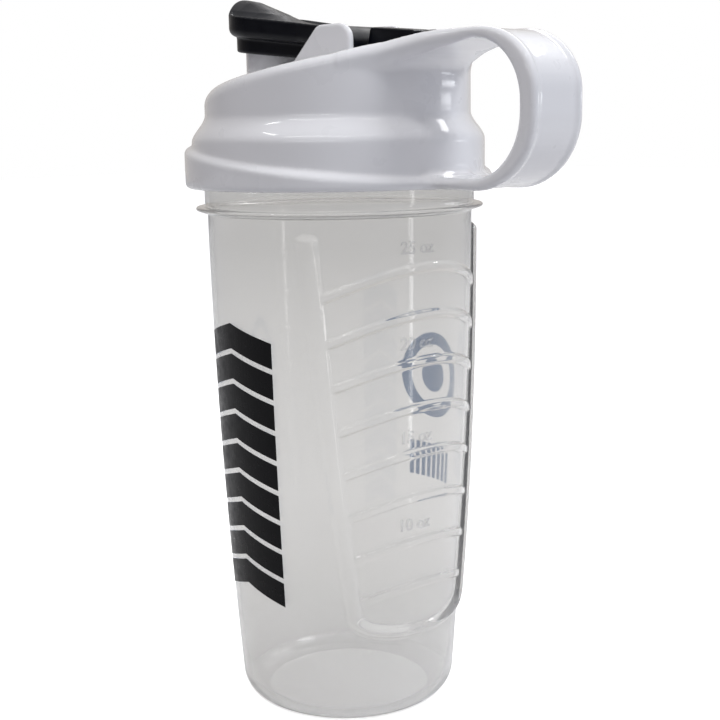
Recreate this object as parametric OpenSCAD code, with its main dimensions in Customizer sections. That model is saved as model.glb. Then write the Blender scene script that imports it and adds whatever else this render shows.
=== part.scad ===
// Protein shaker bottle: tapered cup, screw lid with a carry loop, and a flip cap over the spout.
// The Z axis is the cup's axis and z = 0 is the base it stands on.
// The carry loop points to +X and the spout to -X.

/* [Cup] */
// Outer radius where the wall meets the base, before the base edge is rounded
cup_base_r = 36.3; // [34:0.1:38]
// Outer radius of the wall just below the flange
cup_top_r = 44.2; // [43:0.1:45]
// How far the wall bulges out of a straight cone, halfway up
cup_bulge = 1.56; // [0:0.02:2]
// Height of the flange's underside above the base
flange_z = 168.6; // [165:0.1:172]
// Radius of the flange's edge
flange_r = 48; // [47:0.1:50]
// Thickness of the flange
flange_t = 2; // [1.2:0.1:2.4]
// Outer radius of the threaded neck
neck_r = 45; // [44.6:0.1:45.2]
// Height of the cup's rim above the base
rim_z = 191.2; // [190:0.1:191.2]
// Thickness of the cup's wall
cup_wall = 1.5; // [1.4:0.1:2]
// Thickness of the cup's floor
cup_floor = 2.2; // [1.6:0.1:3]
// Radius of the rounded edge round the base
base_edge = 9; // [6:0.5:10]

/* [Grip panel] */
// Turn of the grip panel about the cup's axis, from the carry loop's direction
panel_turn = -5.5; // [-20:0.5:20]
// Half width of the panel at its top
panel_top_w = 33; // [30:0.5:34]
// Half width of the panel just above its rounded bottom
panel_bottom_w = 21; // [16:0.5:24]
// How far the panel's sides bow outwards, halfway up
panel_bow = 1.3; // [0:0.1:2]
// Height of the ridge's top ends
panel_top_z = 163; // [158:0.5:164]
// Height of the middle of the panel's bottom edge
panel_bottom_z = 34.2; // [32:0.1:36]
// Number of grip ribs
rib_count = 8; // [4:1:8]
// Height of the lowest rib's crown
rib_first_z = 47.9; // [46:0.1:50]
// Distance from one rib's crown to the next
rib_pitch = 14.93; // [14:0.01:15]
// Height of a rib's band
rib_band = 2.6; // [2:0.1:4]
// How far a rib stands out of the wall
rib_h = 0.8; // [0.4:0.05:1]
// Radius of the arch that each rib follows
rib_arch_r = 64; // [50:1:90]
// Width of the raised ridge that frames the panel
ridge_w = 4.5; // [3:0.1:5]
// How far the ridge stands out of the wall
ridge_h = 2.2; // [1:0.1:2.4]

/* [Screw thread] */
// Rise of the thread for one full turn
thread_pitch = 6; // [5:0.25:6]
// Number of turns of thread on the cup's neck
cup_thread_turns = 1.25; // [1:0.05:1.25]
// Number of turns of thread in the lid
lid_thread_turns = 1; // [0.75:0.05:1]
// How far a thread stands out of its wall
thread_depth = 1.2; // [1:0.05:1.2]

/* [Lid] */
// Height of the skirt's lower edge
skirt_z = 176.8; // [176:0.1:178]
// Outer radius of the skirt's wide lower ring
ring_low_r = 51.1; // [50:0.1:52]
// Outer radius of the ring above it
ring_high_r = 48.6; // [48.4:0.1:49.2]
// Height of the lower ring's top edge on the cup's axis
ring_low_top = 186; // [185:0.1:187]
// Fall of the lower ring's top edge towards the carry loop
ring_slope = 0.12; // [0:0.01:0.15]
// Outer radius of the lid's upper wall
wall_r = 44; // [43.5:0.1:44.5]
// Inner radius of the threaded skirt
bore_r = 46.6; // [46.6:0.05:46.8]
// Thickness of the lid's wall and deck
lid_wall = 2.2; // [1.8:0.1:2.6]
// Height of the deck on the cup's axis
deck_z = 212.8; // [212:0.1:214]
// Rise of the deck towards the carry loop
deck_slope = 0.163; // [0.15:0.001:0.18]
// Extra upward curve of the deck
deck_curve = 0.00085; // [0:0.00005:0.001]

/* [Carry loop] */
// Width of the loop's strap
strap_w = 25; // [20:0.5:28]
// Outer reach of the loop from the cup's axis
strap_reach = 90; // [84:0.5:94]
// Thickness of the strap's upright part
strap_t = 5.8; // [4:0.1:6.5]
// Thickness of the strap's top
strap_top_t = 3.2; // [2.6:0.1:4]
// Thickness of the strap's bottom
strap_bottom_t = 3.7; // [3.5:0.1:5]
// Height of the loop's top
strap_top_z = 224.4; // [223:0.1:226]
// Height of the loop's underside
strap_bottom_z = 176.9; // [176.8:0.1:178]

/* [Spout] */
// Distance of the spout's centre from the cup's axis
spout_x = 30; // [29:0.1:31]
// Outer radius of the spout
spout_r = 10; // [9.6:0.1:10.2]
// Thickness of the spout's wall
spout_wall = 1.8; // [1.6:0.1:2.4]
// Height of the spout's mouth
spout_top = 224.6; // [224:0.1:225]

/* [Hinge] */
// Distance of the hinge pin from the cup's axis
hinge_x = 11; // [10:0.1:12]
// Height of the hinge pin
hinge_z = 220.2; // [220:0.1:220.6]
// Height of the ears' top edge
ear_top = 228.3; // [228:0.1:228.8]
// Distance from the pin to an ear's rear edge
ear_rear = 8.1; // [7.8:0.1:8.6]
// Distance from the middle to an ear's inner face
ear_in = 11; // [10:0.1:11.5]
// Thickness of an ear
ear_t = 2.5; // [2:0.1:3.5]
// Radius of the hinge pin
pin_r = 1.5; // [1.2:0.05:1.8]
// Thickness of the ear left at the blind end of the pin's hole
pin_floor = 1; // [0.8:0.1:1.4]
// Radial running clearance between the pin and the cap
pin_gap = 0.06; // [0.03:0.01:0.1]

/* [Flip cap] */
// Radius of the cap's round front
cap_r = 15.6; // [15.2:0.1:16]
// Height of the cap's flat top over the spout's centre
cap_top = 232.9; // [232.6:0.1:233.2]
// Fall of the cap's top towards the hinge
cap_slope = 0.14; // [0.13:0.005:0.15]
// How far the collar round the spout is set in from the cap's side
collar_inset = 2.6; // [2:0.1:2.8]
// Radius of the cap's hinge barrel
barrel_r = 7.6; // [7.2:0.1:7.8]
// Gap between the cap and the ears, on each side
cap_side_gap = 0.3; // [0.2:0.05:0.5]
// Height of the thumb lip's peak
lip_top = 239.8; // [237:0.1:241]

/* [Hinge cover] */
// Half width of the cover behind the hinge
cover_w = 5.5; // [5:0.1:7]
// Half width of the tongue at the cover's end
tongue_w = 3.2; // [2.8:0.1:4]
// Distance from the cup's axis to the end of the cover's thick part
cover_end = 39; // [37:0.5:40]

/* [Mixing grid] */
// Number of rings of holes round the middle hole
grid_rings = 4; // [2:1:4]
// Distance from one ring of holes to the next
grid_ring_step = 8; // [7.5:0.1:8.2]
// Radius of a hole
grid_hole_r = 2.6; // [2:0.1:2.7]
// Height of the grid's plate
grid_z = 188.4; // [188:0.1:189]

/* [Hidden] */
$fn = 96;
far = 400;
// Half a width that is more than any piece has
wide = 60;
// A height inside the lid, below everything that is drawn down into it
inside_z = 200;
eps = 0.01;
cup_color = [0.86, 0.86, 0.85, 0.6];
lid_color = [0.95, 0.95, 0.97];
black = [0.06, 0.065, 0.08];
silicone_color = [0.8, 0.82, 0.83];
grid_color = [0.93, 0.93, 0.94];
steel_color = [0.7, 0.71, 0.73];
// The wall's outline is a few straight steps up the bulged cone
wall_steps = 8;
flange_top_z = flange_z + flange_t;
flange_edge_t = 0.8;
ledge_z = rim_z + 1.8;
gasket_in = 42.4;
gasket_out = 46.2;
inner_r = wall_r - lid_wall;
skirt_relief_r = 48.6;
skirt_relief_z = 179.6;
cap_half_w = ear_in - cap_side_gap;
// The barrel turns in a trough in the deck
trough_r = barrel_r + 0.4;
// Just above this height the panel's bottom starts to round in
panel_foot_z = panel_bottom_z + 5.8;
ear_out = ear_in + ear_t;
seal_r = spout_r - spout_wall - 0.4;
snap_z = 197.2;
// The underside of the cap's roof, which the seal is fixed to
cap_roof = 226.6;
thread_low_z = 181;
catch_x = [40.6, 44.4];
// The underside of the overhang, from the wall out into the loop's hole
overhang_line = [[30, 211.9], [41, 214.5], [50, 217.3], [59, 219.6]];
overhang_end = 50;
catch_top_z = 224.2;

// A point list along an arc or a quarter of an ellipse, counted from angle a to angle b
function arc(x, y, rx, ry, a, b, steps) =
    [for (i = [0:steps]) let (t = a + (b - a) * i / steps) [x + rx * cos(t), y + ry * sin(t)]];

// The cup's outer radius at a height below the flange
function cup_r(z) =
    let (t = z / flange_z) cup_base_r + (cup_top_r - cup_base_r) * t + 4 * cup_bulge * t * (1 - t);

// The outline of the cup's wall, pushed out by d, from height a to height b
function wall_line(a, b, d) = [for (i = [0:wall_steps]) let (z = a + (b - a) * i / wall_steps) [cup_r(z) + d, z]];

// The deck's height at a distance along X
function deck_at(x) = deck_z + deck_slope * x + deck_curve * x * x;

// The cap's flat top at a distance along X
function cap_top_at(x) = cap_top - cap_slope * (x + spout_x);

// Shapes drawn as seen from the front, in X and Z, and given a width along Y
module side_plate(half_w) {
    translate([0, half_w, 0])
        rotate([90, 0, 0])
            linear_extrude(2 * half_w)
                children();
}

// One turn or more of thread. The band's root lies at root_r and its crest at tip_r.
module thread(root_r, tip_r, z, turns) {
    steps_per_turn = 60;
    n = round(turns * steps_per_turn);
    half_root = 1.15;
    half_tip = 0.55;
    // The crest rises out of the wall over the first steps and sinks back over the last ones
    run_out = 8;
    crest = function(i) root_r + (tip_r - root_r) * min(1, (i + 0.3) / run_out, (n - i + 0.3) / run_out);
    points = [
        for (i = [0:n])
            let (t = 360 * i / steps_per_turn, h = z + thread_pitch * i / steps_per_turn, r = crest(i))
                each [
                    [root_r * cos(t), root_r * sin(t), h - half_root],
                    [r * cos(t), r * sin(t), h - half_tip],
                    [r * cos(t), r * sin(t), h + half_tip],
                    [root_r * cos(t), root_r * sin(t), h + half_root],
                ],
    ];
    // The order of the corners turns round when the crest points inwards
    out = tip_r > root_r;
    side = function(i, k) let (a = 4 * i + k, b = 4 * i + (k + 1) % 4) out
        ? [[a, b, b + 4], [a, b + 4, a + 4]]
        : [[b, a, a + 4], [b, a + 4, b + 4]];
    start = out ? [[3, 2, 1], [3, 1, 0]] : [[0, 1, 2], [0, 2, 3]];
    e = 4 * n;
    end = out ? [[e, e + 1, e + 2], [e, e + 2, e + 3]] : [[e + 3, e + 2, e + 1], [e + 3, e + 1, e]];
    polyhedron(points, concat(start, [for (i = [0:n - 1], k = [0:3]) each side(i, k)], end));
}

// ---- Cup ----

module cup_outside() {
    edge_x = cup_r(base_edge) - base_edge;
    rotate_extrude()
        polygon(concat(
            [[0, 0]],
            arc(edge_x, base_edge, base_edge, base_edge, -90, 0, 8),
            wall_line(base_edge + 2, flange_z - 0.5, 0),
            [
                [neck_r, flange_z],
                [flange_r - 0.4, flange_z + (flange_t - flange_edge_t)],
                [flange_r, flange_top_z - flange_edge_t / 2],
                [flange_r - 0.4, flange_top_z],
                [neck_r, flange_top_z],
                [neck_r, rim_z - 0.5],
                [neck_r - 0.5, rim_z],
                [0, rim_z],
            ]
        ));
}

module cup_inside() {
    inner_edge = base_edge - cup_wall;
    edge_x = cup_r(base_edge) - base_edge;
    rotate_extrude()
        polygon(concat(
            [[0, cup_floor]],
            arc(edge_x, cup_floor + inner_edge, inner_edge, inner_edge, -90, 0, 8),
            wall_line(base_edge + 4, flange_z - 4, -cup_wall),
            [[neck_r - cup_wall, flange_z + 1], [neck_r - cup_wall, far], [0, far]]
        ));
}

// A skin that follows the cup's wall, from d_in to d_out off its outer face
module wall_skin(d_in, d_out) {
    bottom = 20;
    rotate_extrude()
        polygon(concat(
            wall_line(bottom, flange_z - 2, d_out),
            wall_line(flange_z - 2, bottom, d_in)
        ));
}

// Half the panel's width at a height above its rounded bottom
function panel_half(z) =
    let (u = (z - panel_foot_z) / (panel_top_z - panel_foot_z))
        panel_bottom_w + (panel_top_w - panel_bottom_w) * u + 4 * panel_bow * u * (1 - u);

// The panel's outline, grown sideways by d and downwards by drop
module panel_outline(d, drop) {
    side_steps = 6;
    bottom_steps = 9;
    depth = panel_foot_z - panel_bottom_z + drop;
    reach = panel_bottom_w + d;
    // The bottom is squarer than an ellipse
    power = 2.6;
    half = concat(
        [for (i = [side_steps:-1:1])
            let (z = panel_foot_z + (panel_top_z - panel_foot_z) * i / side_steps) [panel_half(z) + d, z]],
        [for (i = [0:bottom_steps])
            let (a = 90 * i / bottom_steps)
                [reach * pow(cos(a), 2 / power), panel_foot_z - depth * pow(sin(a), 2 / power)]]
    );
    polygon(concat(half, [for (i = [len(half) - 2:-1:0]) [-half[i][0], half[i][1]]]));
}

// The band of one arched rib whose crown is at height z
module rib_arch(z) {
    translate([0, z - rib_arch_r])
        difference() {
            circle(r = rib_arch_r + rib_band / 2);
            circle(r = rib_arch_r - rib_band / 2);
            translate([-far / 2, -far])
                square([far, far]);
        }
}

// Pushes a flat outline out to the grip side of the cup
module through_grip_side() {
    rotate([0, 0, panel_turn])
        rotate([90, 0, 90])
            linear_extrude(70)
                children();
}

// The ridge's outline, with its flanks drawn in by d
module ridge_outline(d) {
    end_r = ridge_w / 2 - d;
    difference() {
        panel_outline(ridge_w - d, ridge_w - d);
        panel_outline(d, d);
    }
    for (s = [-1, 1])
        translate([s * (panel_top_w + ridge_w / 2), panel_top_z])
            circle(r = end_r);
}

module cup() {
    flank = 1.2;
    root = -0.6;
    color(cup_color)
        difference() {
            union() {
                cup_outside();
                // Arched ribs across the panel
                intersection() {
                    wall_skin(root, rib_h);
                    through_grip_side()
                        intersection() {
                            panel_outline(0.5, 0);
                            union()
                                for (i = [0:rib_count - 1])
                                    rib_arch(rib_first_z + i * rib_pitch);
                        }
                }
                // The ridge that runs down both sides of the panel and round below it, in two steps
                intersection() {
                    wall_skin(root, ridge_h / 2);
                    through_grip_side()
                        ridge_outline(0);
                }
                intersection() {
                    wall_skin(root, ridge_h);
                    through_grip_side()
                        ridge_outline(flank);
                }
                thread(neck_r - 0.3, neck_r + thread_depth, thread_low_z, cup_thread_turns);
            }
            cup_inside();
        }
}

// ---- Lid ----

// The wide lower ring, cut off by a plane that falls towards the carry loop
module lower_ring() {
    tilt = atan(ring_slope);
    difference() {
        rotate_extrude()
            polygon([
                [0, skirt_z],
                [ring_low_r - 2, skirt_z],
                [ring_low_r - 0.6, skirt_z + 0.6],
                [ring_low_r, skirt_z + 2],
                [ring_low_r, deck_z],
                [0, deck_z],
            ]);
        translate([0, 0, ring_low_top])
            rotate([0, tilt, 0])
                translate([-far / 2, -far / 2, 0])
                    cube(far);
    }
}

// The upper ring, the shoulder and the upright wall
module upper_wall() {
    rotate_extrude()
        polygon([
            [0, skirt_z + 1],
            [ring_high_r, skirt_z + 1],
            [ring_high_r, 192.2],
            [ring_high_r - 0.7, 193.6],
            [46.5, 196],
            [44.8, 197.8],
            [wall_r, 199.4],
            [wall_r, 230],
            [0, 230],
        ]);
}

// The deck's plan: a circle that narrows in straight lines to the strap
module deck_plan() {
    side = wall_r * sin(45);
    circle(r = wall_r);
    polygon([
        [0, -side],
        [side, -side],
        [side + side - strap_w / 2, -strap_w / 2],
        [side + side - strap_w / 2, strap_w / 2],
        [side, side],
        [0, side],
    ]);
}

// Everything below the deck's top, seen from the side
module below_deck(x_end) {
    steps = 12;
    polygon(concat(
        [[-wide, flange_z]],
        [for (i = [0:steps]) let (x = -wide + (x_end + wide) * i / steps) [x, deck_at(x)]],
        [[x_end, flange_z]]
    ));
}

// The loop's side view, from the deck round to the skirt. Each corner is a quarter of an ellipse.
module strap_outline() {
    top_rx = 20.5;
    top_rz = 18.9;
    bottom_r = 22.5;
    hole_rx = 17.5;
    hole_top_rz = 18.2;
    hole_bottom_rz = 19.4;
    hole_x = strap_reach - strap_t;
    polygon(concat(
        [
            [overhang_line[0][0], deck_at(overhang_line[0][0]) - 0.02],
            [overhang_end, deck_at(overhang_end)],
            [60, strap_top_z - 0.3],
        ],
        arc(strap_reach - top_rx, strap_top_z - top_rz, top_rx, top_rz, 95, 0, 14),
        arc(strap_reach - bottom_r, strap_bottom_z + bottom_r, bottom_r, bottom_r, 0, -90, 14),
        [[40, strap_bottom_z], [40, strap_bottom_z + strap_bottom_t]],
        arc(hole_x - hole_rx, strap_bottom_z + strap_bottom_t + hole_bottom_rz, hole_rx, hole_bottom_rz, -90, 0, 14),
        arc(hole_x - hole_rx, strap_top_z - strap_top_t - hole_top_rz, hole_rx, hole_top_rz, 0, 90, 14),
        [for (i = [len(overhang_line) - 1:-1:0]) overhang_line[i]]
    ));
}

module ear_outline() {
    corner = 5.2;
    rear = hinge_x + ear_rear;
    front_corner = 5;
    root_z = deck_z - 0.8;
    polygon(concat(
        [[-13, root_z - 3], [-12.4, root_z]],
        arc(6.4, ear_top - front_corner, front_corner, front_corner, 133, 90, 4),
        arc(rear - corner, ear_top - corner, corner, corner, 90, 0, 8),
        [[rear, root_z]]
    ));
}

module lid_inside() {
    // Threaded skirt and the ledge that the gasket presses on
    rotate_extrude()
        polygon([
            [0, skirt_z - 1],
            [skirt_relief_r, skirt_z - 1],
            [skirt_relief_r, skirt_relief_z - 1],
            [bore_r, skirt_relief_z],
            [bore_r, ledge_z],
            [gasket_in, ledge_z],
            [inner_r, ledge_z + 0.6],
            [inner_r, snap_z - 0.6],
            [inner_r + 0.5, snap_z],
            [inner_r, snap_z + 0.6],
            [inner_r, snap_z + 3],
            [0, snap_z + 3],
        ]);
    // The room under the deck
    intersection() {
        translate([0, 0, snap_z])
            cylinder(r = inner_r, h = wide);
        difference() {
            side_plate(wide)
                translate([0, -lid_wall])
                    below_deck(wide);
            // The trough's own wall hangs below the deck
            hinge_rod(trough_r + lid_wall - 0.2, ear_out);
        }
    }
}

// A rod round the hinge's axis
module hinge_rod(r, half_w) {
    translate([hinge_x, half_w, hinge_z])
        rotate([90, 0, 0])
            cylinder(r = r, h = 2 * half_w);
}

module lid() {
    color(lid_color)
        difference() {
            union() {
                difference() {
                    union() {
                        lower_ring();
                        intersection() {
                            upper_wall();
                            side_plate(wide)
                                below_deck(wide);
                        }
                        // The deck runs on past the wall to the strap
                        intersection() {
                            translate([0, 0, inside_z])
                                linear_extrude(wide)
                                    deck_plan();
                            side_plate(wide)
                                difference() {
                                    below_deck(overhang_end);
                                    polygon(concat([[-wide, 0], [-wide, 205]], overhang_line, [[wide, 0]]));
                                }
                        }
                        side_plate(strap_w / 2)
                            difference() {
                                strap_outline();
                                translate([0, inside_z])
                                    square([overhang_line[0][0] + eps, wide]);
                            }
                        translate([-spout_x, 0, inside_z])
                            cylinder(r = spout_r, h = spout_top - inside_z);
                        for (s = [-1, 1])
                            translate([0, s * (ear_in + ear_t / 2), 0])
                                side_plate(ear_t / 2)
                                    ear_outline();
                        // The catch that the hinge cover hooks over
                        side_plate(tongue_w - 1)
                            polygon([
                                [catch_x[0], deck_at(catch_x[0]) - 2],
                                [catch_x[0], catch_top_z],
                                [catch_x[1] - 1.2, catch_top_z],
                                [catch_x[1], catch_top_z - 1.6],
                                [catch_x[1], deck_at(catch_x[1]) - 2],
                            ]);
                    }
                    lid_inside();
                    translate([-spout_x, 0, snap_z])
                        cylinder(r = spout_r - spout_wall, h = wide);
                    hinge_rod(trough_r, ear_in);
                }
                thread(bore_r + 0.3, bore_r - thread_depth, thread_low_z + thread_pitch / 2, lid_thread_turns);
            }
            // The pin's hole goes right through one ear and is blind in the other
            translate([hinge_x, ear_out + 1, hinge_z])
                rotate([90, 0, 0])
                    cylinder(r = pin_r, h = 2 * ear_out + 1 - pin_floor);
        }
}

module lid_gasket() {
    color(silicone_color)
        rotate_extrude()
            polygon([
                [gasket_in + 0.3, rim_z],
                [gasket_out - 0.3, rim_z],
                [gasket_out, rim_z + 0.3],
                [gasket_out, ledge_z - 0.3],
                [gasket_out - 0.3, ledge_z],
                [gasket_in + 0.3, ledge_z],
                [gasket_in, ledge_z - 0.3],
                [gasket_in, rim_z + 0.3],
            ]);
}

// ---- Mixing grid ----

module mixing_grid() {
    ring_out = inner_r - 0.1;
    ring_t = 1.6;
    plate_t = 1.6;
    color(grid_color)
        difference() {
            rotate_extrude()
                polygon([
                    [0, grid_z],
                    [ring_out - 1, grid_z],
                    [ring_out, grid_z + 1],
                    [ring_out, snap_z - 0.5],
                    [ring_out + 0.4, snap_z],
                    [ring_out, snap_z + 0.5],
                    [ring_out, snap_z + 1.2],
                    [ring_out - ring_t, snap_z + 1.2],
                    [ring_out - ring_t, grid_z + plate_t],
                    [0, grid_z + plate_t],
                ]);
            translate([0, 0, grid_z - 1])
                cylinder(r = grid_hole_r, h = plate_t + 2);
            for (k = [1:grid_rings], j = [0:6 * k - 1])
                rotate([0, 0, j * 60 / k])
                    translate([k * grid_ring_step, 0, grid_z - 1])
                        cylinder(r = grid_hole_r, h = plate_t + 2);
        }
}

// ---- Flip cap ----

// The cap's plan: a round front that narrows to the hinge barrel
module cap_plan(d) {
    translate([-spout_x, 0])
        circle(r = cap_r + d);
    polygon([
        [-spout_x, -cap_r - d],
        [-8, -cap_half_w - d],
        [hinge_x, -cap_half_w - d],
        [hinge_x, cap_half_w + d],
        [-8, cap_half_w + d],
        [-spout_x, cap_r + d],
    ]);
}

// The cap's main body seen from the side
module cap_side() {
    front = -spout_x - cap_r - 1;
    polygon([
        [front, 226.4],
        [front, cap_top_at(front)],
        [hinge_x, cap_top_at(hinge_x)],
        [hinge_x, hinge_z - 4],
        [6, hinge_z - 3],
        [-3, 222],
    ]);
}

module collar_side() {
    front = -spout_x - cap_r;
    polygon([
        [front, 222.5],
        [front, 228],
        [-5, 224],
        [-5, 218],
    ]);
}

// The thumb lip rises in an S curve to its peak behind the cap's front
module lip_side() {
    tip = -spout_x - cap_r;
    peak_x = tip + 2.6;
    run = 27;
    steps = 10;
    rise = lip_top - cap_top_at(peak_x);
    polygon(concat(
        [[tip + 0.4, cap_top_at(tip) - 2], [tip + 0.4, cap_top_at(tip) + 2.6], [tip + 1.2, lip_top - 0.7]],
        [
            for (i = [0:steps])
                let (t = i / steps, x = peak_x + run * t)
                    [x, cap_top_at(x) - 0.1 + rise * (1 - t * t * (3 - 2 * t))],
        ],
        [[peak_x + run, cap_top_at(peak_x + run) - 2]]
    ));
}

module flip_cap() {
    lip_half_w = 9;
    // Where the room in the middle of the body starts, and its length and width
    room_x = -17.8;
    room = 14;
    color(black)
        difference() {
            union() {
                intersection() {
                    side_plate(wide)
                        cap_side();
                    linear_extrude(far)
                        cap_plan(0);
                }
                intersection() {
                    side_plate(wide)
                        collar_side();
                    linear_extrude(far)
                        cap_plan(-collar_inset);
                }
                intersection() {
                    side_plate(lip_half_w)
                        lip_side();
                    linear_extrude(far)
                        cap_plan(0);
                }
                hinge_rod(barrel_r, cap_half_w);
            }
            // Room for the spout and its seal
            translate([-spout_x, 0, inside_z])
                cylinder(r = spout_r + 0.7, h = cap_roof - inside_z);
            // Room in the middle of the body, so that the walls are even
            translate([room_x, -room / 2, inside_z])
                cube([room, room, cap_roof - inside_z]);
            // The pin's hole
            hinge_rod(pin_r + pin_gap, wide);
        }
}

// The seal fills the spout's mouth and its flange lies over the spout's rim
module spout_seal() {
    color(silicone_color)
        translate([-spout_x, 0, 0])
            rotate_extrude()
                polygon([
                    [0, spout_top - 2.6],
                    [seal_r - 0.9, spout_top - 2.6],
                    [seal_r - 0.4, spout_top - 2.1],
                    [seal_r, spout_top + 0.2],
                    [spout_r + 0.3, spout_top + 0.2],
                    [spout_r + 0.6, spout_top + 0.6],
                    [spout_r + 0.6, cap_roof],
                    [0, cap_roof],
                ]);
}

module hinge_pin() {
    color(steel_color)
        translate([hinge_x, ear_out - 0.4, hinge_z])
            rotate([90, 0, 0])
                cylinder(r = pin_r, h = 2 * ear_out - 0.4 - pin_floor);
}

// The cover fills in behind the barrel. Its front leans back at the top, to leave room for the open cap.
module cover_side() {
    front = hinge_x + barrel_r + 0.4;
    // The underside is straight between these points, and the deck is curved
    lift = 0.12;
    middle = 28;
    polygon([
        [front, deck_at(front) + lift],
        [front, hinge_z + 1],
        [front + 1.4, 226.8],
        [front + 2, 227.2],
        [cover_end - 1, 225.5],
        [cover_end, 225],
        [cover_end, deck_at(cover_end) + lift],
        [middle, deck_at(middle) + lift],
    ]);
}

// The tongue hooks over the catch
module tongue_side() {
    tongue_t = 1;
    polygon([
        [cover_end - 1, catch_top_z],
        [cover_end - 1, catch_top_z + tongue_t],
        [catch_x[1] - 1.2, catch_top_z + tongue_t],
        [catch_x[1] + 0.8, catch_top_z - 1.6],
        [catch_x[1], catch_top_z - 1.6],
        [catch_x[1] - 1.2, catch_top_z],
    ]);
}

module hinge_cover() {
    color(black) {
        side_plate(cover_w)
            cover_side();
        side_plate(tongue_w)
            tongue_side();
    }
}

cup();
lid();
lid_gasket();
mixing_grid();
flip_cap();
spout_seal();
hinge_pin();
hinge_cover();
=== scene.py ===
"""Protein shaker bottle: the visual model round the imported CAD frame.

Lengths inside the shape functions are in millimetres.
"""
import math

import bmesh
import bpy
import numpy as np
from mathutils import Matrix, Vector


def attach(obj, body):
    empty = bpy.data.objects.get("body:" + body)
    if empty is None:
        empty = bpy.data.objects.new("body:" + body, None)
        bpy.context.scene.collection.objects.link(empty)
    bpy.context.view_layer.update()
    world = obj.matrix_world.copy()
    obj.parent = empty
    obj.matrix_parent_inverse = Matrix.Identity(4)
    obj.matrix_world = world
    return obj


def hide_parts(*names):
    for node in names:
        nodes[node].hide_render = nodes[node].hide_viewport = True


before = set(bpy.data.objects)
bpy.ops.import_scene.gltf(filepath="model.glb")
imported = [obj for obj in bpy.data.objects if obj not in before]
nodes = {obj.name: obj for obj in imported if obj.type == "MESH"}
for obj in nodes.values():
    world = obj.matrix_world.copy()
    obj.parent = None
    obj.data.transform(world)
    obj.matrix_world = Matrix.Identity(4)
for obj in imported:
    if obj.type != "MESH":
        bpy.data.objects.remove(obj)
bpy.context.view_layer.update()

MM = 0.001

# ---------------------------------------------------------------- dimensions, the same as in the CAD model
CUP_BASE_R, CUP_TOP_R, CUP_BULGE, FLANGE_Z = 36.3, 44.2, 1.56, 168.6
FLANGE_R, FLANGE_TOP, NECK_R, RIM_Z = 48.0, 170.6, 45.0, 191.2
CUP_WALL, CUP_FLOOR, BASE_EDGE = 1.5, 2.2, 9.0
PANEL_TURN = math.radians(-5.5)
PANEL_TOP_W, PANEL_BOTTOM_W, PANEL_BOW, PANEL_TOP_Z, PANEL_BOTTOM_Z = 33.0, 21.0, 1.3, 163.0, 34.2
PANEL_FOOT_Z = PANEL_BOTTOM_Z + 5.8
RIDGE_W, RIDGE_H = 4.5, 2.2
RIB_Z0, RIB_PITCH, RIB_COUNT, RIB_H, RIB_ARCH_R = 47.9, 14.93, 8, 0.8, 64.0
PITCH, THREAD_DEPTH, CUP_THREAD_TURNS, LID_THREAD_TURNS = 6.0, 1.2, 1.25, 1.0
CUP_THREAD_Z = 181.0
LID_THREAD_Z = CUP_THREAD_Z + PITCH / 2
SKIRT_Z, RING_LOW_R, RING_LOW_TOP, RING_SLOPE, RING_HIGH_R, WALL_R = 176.8, 51.1, 186.0, 0.12, 48.6, 44.0
LEDGE_Z, LID_WALL, SNAP_Z = 193.0, 2.2, 197.2
SKIRT_RELIEF_R, BORE_R, GASKET_IN = 48.6, 46.6, 42.4
INNER_R = WALL_R - LID_WALL
STRAP_W, STRAP_REACH, STRAP_TOP_Z, STRAP_BOTTOM_Z = 25.0, 90.0, 224.4, 176.9
SPOUT_X, SPOUT_R, SPOUT_BORE, SPOUT_TOP = -30.0, 10.0, 8.2, 224.6
HINGE_X, HINGE_Z, EAR_IN, EAR_OUT, EAR_TOP = 11.0, 220.2, 11.0, 13.5, 228.3
BARREL_R, TROUGH_R, PIN_R, PIN_HOLE_END = 7.6, 8.0, 1.5, -12.5
CAP_R, CAP_TOP, CAP_SLOPE, CAP_HALF_W, COLLAR_INSET, CAP_ROOF = 15.6, 232.9, 0.14, 10.7, 2.6, 226.6
CAP_ROOM_X, CAP_ROOM_HALF = -10.8, 7.0
COVER_START, COVER_END, COVER_HALF_W, TONGUE_HALF_W = 19.0, 39.0, 5.5, 3.2
CATCH_X, CATCH_HALF_X, CATCH_HALF_W, CATCH_BOTTOM, CATCH_TOP = 42.5, 1.9, 2.2, 218.0, 224.2


# ---------------------------------------------------------------- signed distances
def join(a, b, r):
    """Union of two solids with a round fillet of radius r in the corner between them."""
    u, v = np.maximum(r - a, 0), np.maximum(r - b, 0)
    return np.maximum(r, np.minimum(a, b)) - np.sqrt(u * u + v * v)


def meet(a, b, r):
    """Intersection of two solids with a rounded edge of radius r."""
    u, v = np.maximum(r + a, 0), np.maximum(r + b, 0)
    return np.minimum(-r, np.maximum(a, b)) + np.sqrt(u * u + v * v)


def cut(a, b, r=0.3):
    """Solid a less solid b, with a rounded edge of radius r."""
    return meet(a, -b, r)


def step(t, a, b):
    """A smooth step from 0 at a to 1 at b."""
    s = np.clip((t - a) / (b - a), 0, 1)
    return s * s * (3 - 2 * s)


def polygon(px, py, points):
    """Signed distance to a closed outline."""
    px, py = np.broadcast_arrays(px, py)
    best = np.full(px.shape, 1e9)
    inside = np.zeros(px.shape, bool)
    for (ax, ay), (bx, by) in zip(points, points[1:] + points[:1]):
        ex, ey = bx - ax, by - ay
        wx, wy = px - ax, py - ay
        t = np.clip((wx * ex + wy * ey) / (ex * ex + ey * ey), 0, 1)
        best = np.minimum(best, (wx - ex * t) ** 2 + (wy - ey * t) ** 2)
        if ay != by:
            inside ^= ((py >= ay) != (py >= by)) & (px < ax + (py - ay) * ex / ey)
    return np.sqrt(best) * np.where(inside, -1, 1)


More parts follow.
